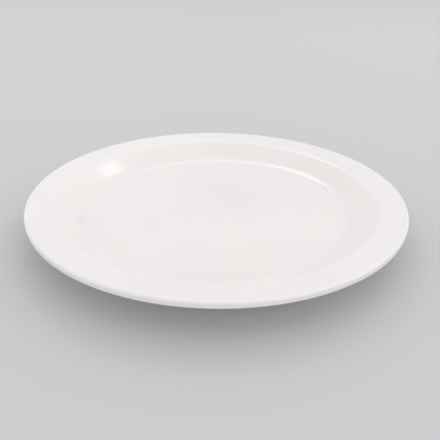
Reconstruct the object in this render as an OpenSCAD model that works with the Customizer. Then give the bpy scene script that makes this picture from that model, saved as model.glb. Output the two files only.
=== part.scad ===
// Round rimmed plate, moulded in one piece: a shallow well with a gently dished floor and a sloping
// wall, a wide rim that rises to a rounded lip, and a low foot ring under the floor. The origin is
// the centre of the surface that the plate stands on, with +Z up.

/* [Plate] */
// Diameter over the lip
plate_d = 230; // [190:1:280]
// Height of the lip's top above the table
plate_h = 21.5; // [17:0.5:27]
// Thickness of the floor, the wall and the inner edge of the rim
wall_t = 3.3; // [2.6:0.1:4.2]

/* [Rim] */
// Width of the rim, from the lip's outer face to the corner where the wall starts
rim_w = 16.6; // [12:0.2:22]
// Slope at which the rim rises towards the lip, in degrees
rim_slope = 10; // [6:1:16]
// Radius that rounds the corner between the rim and the wall
corner_round = 8; // [4:0.5:16]
// Radius that rounds the same corner on the underside
corner_under_round = 5; // [2:0.5:12]

/* [Lip] */
// Thickness of the lip, measured across the rim
lip_t = 3.8; // [3:0.1:5]
// Radius that rounds the upper edge of the lip
lip_round = 1.4; // [0.6:0.1:2]
// Radius that rounds the lower edge of the lip
lip_under_round = 0.9; // [0.4:0.1:1.6]

/* [Well] */
// Width of the sloping wall, seen from above
wall_w = 13.8; // [11:0.2:18]
// Radius that blends the wall into the floor
well_round = 18; // [8:0.5:26]
// Width of the dished band of the floor, between its flat middle and the wall
dish_w = 28; // [22:1:36]
// Height that the floor gains across the dished band
dish_rise = 2.4; // [0.6:0.1:3.2]
// Radius that blends the dished band into the flat middle
dish_round = 500; // [100:10:700]

/* [Foot] */
// Height of the foot ring
foot_h = 3; // [1.5:0.1:4]
// Distance from the foot of the wall in to the outer edge of the foot ring
foot_inset = 18; // [12:0.5:24]
// Width of the foot ring's standing face, before its edges are rounded
foot_w = 3.6; // [2.5:0.1:6]
// Lean of the foot ring's two sides, in degrees from upright
foot_draft = 20; // [5:1:35]
// Radius that rounds the edges of the standing face
foot_round = 0.9; // [0.3:0.1:1.2]
// Radius that blends the foot ring into the floor
foot_blend = 2; // [0.5:0.1:3]

/* [Hidden] */

// Facets around the plate and around a small arc's full circle, and for each millimetre of a larger
// arc's radius
around = 180;
arc_around = 90;
arc_per_mm = 2;
// How far a rounding arc passes over the sides that it blends, so that it crosses them cleanly
graze = 0.002;
// How far a rounding reaches past the sharp corner that it fills or removes
overlap = 0.05;
// Share of a side that the roundings at its two ends may take up between them
side_use = 0.96;

// Radii at which the upper side changes its slope, from the lip in to the flat middle
lip_r = plate_d / 2;
corner_r = lip_r - rim_w;
floor_r = corner_r - wall_w;
flat_r = floor_r - dish_w;

// Heights of the upper side there. The sharp lip stands higher than the rounded lip's top.
lip_z = plate_h + lip_round * (1 / cos(rim_slope) + tan(rim_slope) - 1);
corner_z = lip_z - rim_w * tan(rim_slope);
flat_z = foot_h + wall_t;
floor_edge_z = flat_z + dish_rise;

dish_slope = atan2(dish_rise, dish_w);
wall_slope = atan2(corner_z - floor_edge_z, wall_w);

// The point of the underside below a corner of the upper side, where slopes a and b meet
function below(p, a, b) = p + wall_t / cos((b - a) / 2) * [sin((a + b) / 2), -cos((a + b) / 2)];

under_flat = below([flat_r, flat_z], 0, dish_slope);
under_floor = below([floor_r, floor_edge_z], dish_slope, wall_slope);
under_corner = below([corner_r, corner_z], rim_slope, wall_slope);
under_lip_z = lip_z - lip_t / cos(rim_slope);

// Radii of the foot ring where it stands, how far its sides lean out for each millimetre of height,
// and the height at which its outer side runs into the dished underside
foot_out_r = floor_r - foot_inset;
foot_in_r = foot_out_r - foot_w;
foot_lean = tan(foot_draft);
foot_top_z = max(foot_h, (under_flat.y + (foot_out_r - under_flat.x) * tan(dish_slope))
                         / (1 - foot_lean * tan(dish_slope)));

// The section's corners, from the axis out along the underside and back along the upper side:
// radius, height and the radius that rounds the corner
corners = [
    [0, foot_h, 0],
    [foot_in_r - foot_h * foot_lean, foot_h, foot_blend],
    [foot_in_r, 0, foot_round],
    [foot_out_r, 0, foot_round],
    [foot_out_r + foot_top_z * foot_lean, foot_top_z, foot_blend],
    [under_floor.x, under_floor.y, well_round + wall_t],
    [under_corner.x, under_corner.y, corner_under_round],
    [lip_r, under_lip_z, lip_under_round],
    [lip_r, lip_z, lip_round],
    [corner_r, corner_z, corner_round],
    [floor_r, floor_edge_z, well_round],
    [flat_r, flat_z, dish_round],
    [0, flat_z, 0]
];
last = len(corners) - 1;

// Place of a corner, and length and direction of the side that follows it
function spot(i) = [corners[i][0], corners[i][1]];
function side(i) = norm(spot(i + 1) - spot(i));
function heading(i) = (spot(i + 1) - spot(i)) / side(i);

// Angle that the outline turns at a corner: positive where the corner stands out, negative where
// it is hollow
function turn(i) = atan2(cross(heading(i - 1), heading(i)), heading(i - 1) * heading(i));

// Length that a corner's rounding wants of each side, and the share of it that both sides can give
function wish(i) = i == 0 || i == last ? 0 : corners[i][2] * tan(abs(turn(i)) / 2);
function share(i) = min(1, side_use * side(i - 1) / (wish(i - 1) + wish(i)),
                        side_use * side(i) / (wish(i) + wish(i + 1)));

// Direction in which a corner points, and the centre of the arc that rounds it
function point_out(i) = (heading(i - 1) - heading(i)) / norm(heading(i - 1) - heading(i));
function arc_r(i) = corners[i][2] * share(i);
function arc_centre(i) = spot(i) - point_out(i) * (arc_r(i) / cos(turn(i) / 2) - graze);

// What lies between a sharp corner and the arc that rounds it. Its points run anticlockwise, so
// they are taken in the other order at a hollow corner.
module rounding(i) {
    reach = wish(i) * share(i);
    before = spot(i) - heading(i - 1) * reach;
    past = spot(i) + point_out(i) * overlap;
    after = spot(i) + heading(i) * reach;
    difference() {
        polygon(turn(i) > 0 ? [before, past, after] : [after, past, before]);
        translate(arc_centre(i))
            circle(r = arc_r(i), $fn = max(arc_around, arc_per_mm * arc_r(i)));
    }
}

// Half of the plate's section: the roundings are cut off the corners that stand out and fill the
// hollow ones
module section() {
    difference() {
        polygon([for (i = [0 : last]) spot(i)]);
        for (i = [1 : last - 1])
            if (turn(i) > 0)
                rounding(i);
    }
    for (i = [1 : last - 1])
        if (turn(i) < 0)
            rounding(i);
}

module plate() {
    color("whitesmoke")
        rotate_extrude($fn = around)
            section();
}

plate();
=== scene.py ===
import math

import bpy
from mathutils import Euler, Matrix, Quaternion, Vector


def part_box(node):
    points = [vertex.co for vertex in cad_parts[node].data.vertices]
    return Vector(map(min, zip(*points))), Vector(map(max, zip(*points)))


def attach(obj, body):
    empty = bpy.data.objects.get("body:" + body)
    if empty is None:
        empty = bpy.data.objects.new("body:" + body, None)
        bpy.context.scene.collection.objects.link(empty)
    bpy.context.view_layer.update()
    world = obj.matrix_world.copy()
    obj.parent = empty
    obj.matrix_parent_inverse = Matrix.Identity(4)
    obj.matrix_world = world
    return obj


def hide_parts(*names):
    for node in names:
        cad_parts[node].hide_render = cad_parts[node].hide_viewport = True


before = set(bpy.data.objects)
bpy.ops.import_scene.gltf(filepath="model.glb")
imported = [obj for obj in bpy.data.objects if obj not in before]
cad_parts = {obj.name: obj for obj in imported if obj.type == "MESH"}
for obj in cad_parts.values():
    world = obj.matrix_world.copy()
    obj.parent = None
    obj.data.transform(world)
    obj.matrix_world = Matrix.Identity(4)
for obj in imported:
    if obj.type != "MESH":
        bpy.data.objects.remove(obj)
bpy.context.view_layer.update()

# Looks of a rimmed plate, moulded in one glossy white piece, on a pale floor in soft light.
# Lengths are in metres; those of the section are written in millimetres and scaled by MM.
MM = 0.001
PLATE_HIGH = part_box("plate")[1]

# The section's sizes, as in the solid: its radius and height come from the frame.
LIP_R = PLATE_HIGH.x / MM
PLATE_H = PLATE_HIGH.z / MM
WALL_T = 3.3
RIM_W = 16.6
RIM_SLOPE = math.radians(10)
CORNER_ROUND = 8
CORNER_UNDER_ROUND = 5
LIP_T = 3.8
LIP_ROUND = 1.4
LIP_UNDER_ROUND = 0.9
WALL_W = 13.8
WELL_ROUND = 18
DISH_W = 28
DISH_RISE = 2.4
DISH_ROUND = 500
FOOT_H = 3
FOOT_INSET = 18
FOOT_W = 3.6
FOOT_DRAFT = math.radians(20)
FOOT_ROUND = 0.9
FOOT_BLEND = 2

# How finely the section is revolved: steps around, how far an arc may stand off its chords, the
# fewest steps of an arc, the longest straight step and the radius inside which a point counts as on
# the axis
AROUND = 480
CHORD_GAP = 0.002
ARC_STEPS = 4
STRAIGHT_STEP = 15
ON_AXIS = 1e-6

# The gloss: the darker and the paler tone of the clean surface and of the worn foot, and the index
# of refraction
CLEAN_TONES = (0.853, 0.829, 0.817, 1), (0.877, 0.852, 0.839, 1)
WORN_TONES = (0.70, 0.69, 0.67, 1), (0.83, 0.82, 0.81, 1)
INDEX = 1.5

# Its roughness: the range of its clouds, what the polish marks give and take, and what wear and
# rubbing add
CLOUDS = 0.13, 0.19
MARKS_ROUGH = 0.015
WORN_ROUGH = 0.3
RUBBED_ROUGH = 0.07

# Where wear and rubbing fade out: heights above the table, and distances from the corner between
# rim and wall. The rubbing stays on the upper side, above the last two heights.
WORN_FADE = 0.0001, 0.0005
RUBBED_FADE = 0.002, 0.005
UPPER_START = 0.016, 0.017

# How fine each pattern is, per metre, and how high its bumps stand
TONE_SCALE = 18
SCUFF_SCALE = 400
CLOUD_SCALE = 60
WAVE_SCALE, WAVE_BUMP = 35, 0.00003
MARKS_SCALE, MARKS_BUMP = 700.0, 0.000001
GRAIN_SCALE, GRAIN_BUMP = 900, 0.0000015
# The radius inside which the polish marks stop running around the centre
MARKS_CORE = 0.001

# The camera: how far it is from the centre of the lip, in plate radii, its height above it, where
# that centre lands from the middle of the 440 pixel frame, its focal length in those pixels, its
# roll and the nearest distance that it sees
FRAME_PX = 440
SENSOR_MM = 36
CAMERA_RADII = 2.6
CAMERA_ELEVATION = math.radians(24.425)
FOCAL_PX = 471.40
CENTRE_LEFT_PX = 3.557
CENTRE_UP_PX = 31.250
CAMERA_ROLL = math.radians(0.874)
CLIP_START = 0.01

# The soft light around the plate: its plain strength, what it gains towards each side, towards the
# top and low in front and behind, how fast that low gain fades upwards, and what a small dim screen
# behind takes away. The screen's middle and half size are directions, across and up.
LIGHT = 0.645
LIGHT_RIGHT = 0.42
LIGHT_LEFT = 0.19
LIGHT_FRONT = 0.08
LIGHT_TOP = 0.24
LIGHT_LOW = 0.32
LOW_FADE = 3.0
SCREEN_DIM = 0.42
SCREEN_MIDDLE = (0.04, 0.38)
SCREEN_HALF = (0.10, 0.08)

# How far the lamps are from the middle of the table under the plate
LAMP_DISTANCE = 1.8

# The pale colour that the floor and the backdrop share, and the floor's half width and roughness
PALE = (0.60, 0.60, 0.605, 1)
FLOOR_HALF = 6.0
FLOOR_ROUGH = 0.6


def below(point, a, b):
    """The point of the underside below a corner of the upper side, where slopes a and b meet."""
    mean, half = (a + b) / 2, (b - a) / 2
    return point + WALL_T / math.cos(half) * Vector((math.sin(mean), -math.cos(mean)))


def section_corners():
    """The section's corners from the axis out along the underside and back: place and rounding."""
    corner_r = LIP_R - RIM_W
    floor_r = corner_r - WALL_W
    flat_r = floor_r - DISH_W
    lip_z = PLATE_H + LIP_ROUND * (1 / math.cos(RIM_SLOPE) + math.tan(RIM_SLOPE) - 1)
    flat_z = FOOT_H + WALL_T
    corner = Vector((corner_r, lip_z - RIM_W * math.tan(RIM_SLOPE)))
    floor_edge = Vector((floor_r, flat_z + DISH_RISE))
    dish_slope = math.atan2(DISH_RISE, DISH_W)
    wall_slope = math.atan2(corner.y - floor_edge.y, WALL_W)
    under_flat = below(Vector((flat_r, flat_z)), 0, dish_slope)
    foot_out_r = floor_r - FOOT_INSET
    foot_in_r = foot_out_r - FOOT_W
    lean = math.tan(FOOT_DRAFT)
    dish = math.tan(dish_slope)
    foot_top_z = (under_flat.y + (foot_out_r - under_flat.x) * dish) / (1 - lean * dish)
    return [
        (Vector((0, FOOT_H)), 0),
        (Vector((foot_in_r - FOOT_H * lean, FOOT_H)), FOOT_BLEND),
        (Vector((foot_in_r, 0)), FOOT_ROUND),
        (Vector((foot_out_r, 0)), FOOT_ROUND),
        (Vector((foot_out_r + foot_top_z * lean, foot_top_z)), FOOT_BLEND),
        (below(floor_edge, dish_slope, wall_slope), WELL_ROUND + WALL_T),
        (below(corner, RIM_SLOPE, wall_slope), CORNER_UNDER_ROUND),
        (Vector((LIP_R, lip_z - LIP_T / math.cos(RIM_SLOPE))), LIP_UNDER_ROUND),
        (Vector((LIP_R, lip_z)), LIP_ROUND),
        (corner, CORNER_ROUND),
        (floor_edge, WELL_ROUND),
        (Vector((flat_r, flat_z)), DISH_ROUND),
        (Vector((0, flat_z)), 0),
    ]


def straight(start, end, normal):
    """Points along a straight side, both ends included, with the side's normal."""
    steps = max(1, math.ceil((end - start).length / STRAIGHT_STEP))
    return [(start.lerp(end, k / steps), normal) for k in range(steps + 1)]


def rounded_section(corners):
    """Points of the section and their outward normals, each corner rounded by its tangent arc."""
    points = []
    side_start = corners[0][0]
    for (before, _), (corner, radius), (after, _) in zip(corners, corners[1:], corners[2:]):
        heading_in = (corner - before).normalized()
        heading_out = (after - corner).normalized()
        turn = heading_out.angle_signed(heading_in)
        reach = radius * math.tan(abs(turn) / 2)
        pointing = (heading_in - heading_out).normalized()
        centre = corner - pointing * radius / math.cos(turn / 2)
        normal_in = Vector((heading_in.y, -heading_in.x))
        points += straight(side_start, corner - heading_in * reach, normal_in)
        # A chord over a small angle stands off its arc by radius * angle ** 2 / 8.
        steps = max(ARC_STEPS, math.ceil(abs(turn) / math.sqrt(8 * CHORD_GAP / radius)))
        for k in range(1, steps):
            normal = normal_in.copy()
            normal.rotate(Matrix.Rotation(turn * k / steps, 2))
            points.append((centre + normal * math.copysign(radius, turn), normal))
        side_start = corner + heading_out * reach
    end = corners[-1][0]
    heading = (end - side_start).normalized()
    return points + straight(side_start, end, Vector((heading.y, -heading.x)))


def revolve(name, section):
    """A closed mesh of quads, with a fan at each end on the axis, and the section's own normals."""
    verts, normals, rings = [], [], []
    for point, normal in section:
        on_axis = point.x < ON_AXIS
        ring = []
        for k in range(1 if on_axis else AROUND):
            angle = math.tau * k / AROUND
            c, s = math.cos(angle), math.sin(angle)
            ring.append(len(verts))
            verts.append((point.x * MM * c, point.x * MM * s, point.y * MM))
            normals.append((0, 0, math.copysign(1, normal.y)) if on_axis
                           else (normal.x * c, normal.x * s, normal.y))
        rings.append(ring)
    faces = []
    for low, high in zip(rings, rings[1:]):
        for k in range(AROUND):
            j = (k + 1) % AROUND
            if len(low) == 1:
                faces.append((low[0], high[j], high[k]))
            elif len(high) == 1:
                faces.append((low[k], low[j], high[0]))
            else:
                faces.append((low[k], low[j], high[j], high[k]))
    mesh = bpy.data.meshes.new(name)
    mesh.from_pydata(verts, [], faces)
    mesh.shade_smooth()
    mesh.normals_split_custom_set_from_vertices(normals)
    obj = bpy.data.objects.new(name, mesh)
    bpy.context.collection.objects.link(obj)
    return obj


class Nodes:
    """Short calls for building a node tree."""

    def __init__(self, tree):
        self.tree = tree
        tree.nodes.clear()

    def add(self, kind, inputs=None, **settings):
        """A node with its settings. Each input is linked to a socket or set to a constant."""
        node = self.tree.nodes.new(kind)
        for key, value in settings.items():
            setattr(node, key, value)
        for key, value in (inputs or {}).items():
            if isinstance(value, bpy.types.NodeSocket):
                self.tree.links.new(value, node.inputs[key])
            else:
                node.inputs[key].default_value = value
        return node

    def noise(self, place, scale, detail=2.0, roughness=0.5):
        inputs = {"Vector": place, "Scale": scale, "Detail": detail, "Roughness": roughness}
        return self.add("ShaderNodeTexNoise", inputs).outputs["Fac"]

    def spread(self, value, low, high, frm=0.3, to=0.7):
        """The value, spread from frm..to (where most of a noise lies) over low..high, clamped."""
        inputs = {"Value": value, "From Min": frm, "From Max": to, "To Min": low, "To Max": high}
        return self.add("ShaderNodeMapRange", inputs).outputs["Result"]

    def math(self, operation, *values):
        return self.add("ShaderNodeMath", dict(enumerate(values)), operation=operation).outputs[0]

    def gain(self, value, strength, rest):
        """The rest, plus the value's positive part times the strength."""
        return self.math("MULTIPLY_ADD", self.math("MAXIMUM", value, 0.0), strength, rest)

    def mix(self, factor, a, b):
        """A colour between a and b."""
        node = self.add("ShaderNodeMix", {"Factor": factor, "A": a, "B": b}, data_type="RGBA")
        return [s for s in node.outputs if s.type == "RGBA"][0]

    def bump(self, height, distance, **under):
        """The normal with bumps of this height, over another normal where one is given."""
        inputs = {"Height": height, "Distance": distance, **under}
        return self.add("ShaderNodeBump", inputs).outputs["Normal"]


def glossy_white():
    """Moulded gloss: faint tone changes, a slow waviness, round polish marks, a worn foot and a
    rubbed corner where the rim meets the wall."""
    material = bpy.data.materials.new("white_gloss")
    material.use_nodes = True
    n = Nodes(material.node_tree)
    place = n.add("ShaderNodeTexCoord").outputs["Object"]
    x, y, z = n.add("ShaderNodeSeparateXYZ", {"Vector": place}).outputs
    flat = n.add("ShaderNodeCombineXYZ", {"X": x, "Y": y}).outputs["Vector"]
    radius = n.add("ShaderNodeVectorMath", {0: flat}, operation="LENGTH").outputs["Value"]
    outside = n.math("MAXIMUM", radius, MARKS_CORE)
    round_x, round_y = (n.math("DIVIDE", part, outside) for part in (x, y))
    rings = {"X": round_x, "Y": round_y, "Z": n.math("MULTIPLY", radius, MARKS_SCALE)}
    ringed = n.add("ShaderNodeCombineXYZ", rings).outputs["Vector"]
    marks = n.noise(ringed, scale=1.0, detail=4.0, roughness=0.6)
    worn = n.spread(z, 1.0, 0.0, *WORN_FADE)
    off_corner = n.math("ABSOLUTE", n.math("SUBTRACT", radius, (LIP_R - RIM_W) * MM))
    upper = n.spread(z, 0.0, 1.0, *UPPER_START)
    rubbed = n.math("MULTIPLY", n.spread(off_corner, 1.0, 0.0, *RUBBED_FADE), upper)

    tone = n.spread(n.noise(place, TONE_SCALE, detail=3), 0.0, 1.0)
    clean = n.mix(tone, *CLEAN_TONES)
    scuffs = n.spread(n.noise(place, SCUFF_SCALE, detail=4, roughness=0.7), 0.0, 1.0)
    colour = n.mix(worn, clean, n.mix(scuffs, *WORN_TONES))

    cloudy = n.spread(n.noise(place, CLOUD_SCALE, detail=5, roughness=0.6), *CLOUDS)
    polished = n.math("ADD", cloudy, n.spread(marks, -MARKS_ROUGH, MARKS_ROUGH))
    used = n.math("MULTIPLY_ADD", worn, WORN_ROUGH, polished)
    rough = n.math("MULTIPLY_ADD", rubbed, RUBBED_ROUGH, used)

    wavy = n.bump(n.noise(place, WAVE_SCALE, detail=1.5), WAVE_BUMP)
    turned = n.bump(marks, MARKS_BUMP, Normal=wavy)
    grainy = n.bump(n.noise(place, GRAIN_SCALE, detail=2), GRAIN_BUMP, Normal=turned)
    shader = n.add("ShaderNodeBsdfPrincipled", {
        "Base Color": colour,
        "Roughness": rough,
        "IOR": INDEX,
        "Normal": grainy,
    })
    n.add("ShaderNodeOutputMaterial", {"Surface": shader.outputs["BSDF"]})
    return material


def make_plate():
    plate = revolve("plate_body", rounded_section(section_corners()))
    plate.data.materials.append(glossy_white())
    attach(plate, "root")
    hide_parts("plate")


def make_floor():
    """A wide pale floor, not part of the object."""
    mesh = bpy.data.meshes.new("floor")
    signs = ((-1, -1), (1, -1), (1, 1), (-1, 1))
    corners = [(sx * FLOOR_HALF, sy * FLOOR_HALF, 0) for sx, sy in signs]
    mesh.from_pydata(corners, [], [(0, 1, 2, 3)])
    floor = bpy.data.objects.new("floor", mesh)
    bpy.context.collection.objects.link(floor)
    material = bpy.data.materials.new("floor")
    material.use_nodes = True
    n = Nodes(material.node_tree)
    shader = n.add("ShaderNodeBsdfPrincipled", {"Base Color": PALE, "Roughness": FLOOR_ROUGH})
    n.add("ShaderNodeOutputMaterial", {"Surface": shader.outputs["BSDF"]})
    mesh.materials.append(material)


def make_world():
    """Soft light, stronger from the sides and low behind, with a pale backdrop for the camera."""
    world = bpy.data.worlds.new("studio")
    bpy.context.scene.world = world
    world.use_nodes = True
    n = Nodes(world.node_tree)
    direction = n.add("ShaderNodeTexCoord").outputs["Generated"]
    x, y, z = n.add("ShaderNodeSeparateXYZ", {"Vector": direction}).outputs
    low = n.math("POWER", n.math("SUBTRACT", 1.0, n.math("MAXIMUM", z, 0.0)), LOW_FADE)
    strength = n.gain(z, LIGHT_TOP, LIGHT)
    strength = n.gain(x, LIGHT_RIGHT, strength)
    strength = n.gain(n.math("MULTIPLY", x, -1.0), LIGHT_LEFT, strength)
    strength = n.gain(n.math("MULTIPLY", y, -1.0), LIGHT_FRONT, strength)
    strength = n.gain(n.math("MULTIPLY", n.math("ABSOLUTE", y), low), LIGHT_LOW, strength)
    across = n.math("DIVIDE", n.math("SUBTRACT", x, SCREEN_MIDDLE[0]), SCREEN_HALF[0])
    up = n.math("DIVIDE", n.math("SUBTRACT", z, SCREEN_MIDDLE[1]), SCREEN_HALF[1])
    away = n.math("MULTIPLY_ADD", across, across, n.math("MULTIPLY", up, up))
    around_screen = n.math("EXPONENT", n.math("MULTIPLY", away, -1.0))
    screen = n.math("MULTIPLY", around_screen, n.math("GREATER_THAN", y, 0.0))
    strength = n.gain(screen, -SCREEN_DIM, strength)
    light = n.add("ShaderNodeBackground", {"Color": (1, 1, 1, 1), "Strength": strength})
    backdrop = n.add("ShaderNodeBackground", {"Color": PALE, "Strength": 1.0})
    seen = n.add("ShaderNodeLightPath").outputs["Is Camera Ray"]
    mixed = n.add("ShaderNodeMixShader", {0: seen, 1: light.outputs[0], 2: backdrop.outputs[0]})
    n.add("ShaderNodeOutputWorld", {"Surface": mixed.outputs[0]})


def make_lamp(name, elevation, azimuth, width, height, lean, radiance):
    """A soft lamp that faces the plate, of the given angles, sides and brightness. The azimuth runs
    from straight behind to the right, and a positive lean tips its top to the right, both seen
    from the plate."""
    elevation, azimuth = math.radians(elevation), math.radians(azimuth)
    level = math.cos(elevation)
    direction = Vector((math.sin(azimuth) * level, math.cos(azimuth) * level, math.sin(elevation)))
    data = bpy.data.lights.new(name, "AREA")
    data.shape = "RECTANGLE"
    data.size = width
    data.size_y = height
    data.energy = radiance * math.pi * width * height
    lamp = bpy.data.objects.new(name, data)
    lamp.location = direction * LAMP_DISTANCE
    lamp.rotation_mode = "QUATERNION"
    leaning = Quaternion((0, 0, 1), math.radians(lean))
    lamp.rotation_quaternion = direction.to_track_quat("Z", "Y") @ leaning
    bpy.context.collection.objects.link(lamp)


def make_camera():
    """The photograph's view, worked out from the plate's radius and the pixels above."""
    data = bpy.data.cameras.new("camera")
    data.sensor_width = SENSOR_MM
    data.lens = FOCAL_PX / FRAME_PX * SENSOR_MM
    data.clip_start = CLIP_START
    camera = bpy.data.objects.new("camera", data)
    back = Vector((0, -math.cos(CAMERA_ELEVATION), math.sin(CAMERA_ELEVATION)))
    camera.location = Vector((0, 0, PLATE_H * MM)) + back * CAMERA_RADII * LIP_R * MM
    pitch = CAMERA_ELEVATION + math.atan2(CENTRE_UP_PX, FOCAL_PX)
    yaw = math.atan2(CENTRE_LEFT_PX, FOCAL_PX)
    turn = Euler((math.pi / 2 - pitch, 0, -yaw)).to_matrix() @ Matrix.Rotation(CAMERA_ROLL, 3, "Z")
    camera.rotation_euler = turn.to_euler()
    bpy.context.collection.objects.link(camera)
    bpy.context.scene.camera = camera


make_camera()
make_plate()
make_floor()
make_world()
# One lamp makes the arc of light at the foot of the wall, the other the soft spot on the wall.
make_lamp("lamp_far", elevation=49.5, azimuth=-9.5, width=0.28, height=0.56, lean=-30,
          radiance=2.7)
make_lamp("lamp_right", elevation=49.0, azimuth=42, width=0.22, height=0.34, lean=21,
          radiance=2.5)
bpy.context.scene.view_settings.view_transform = "Standard"
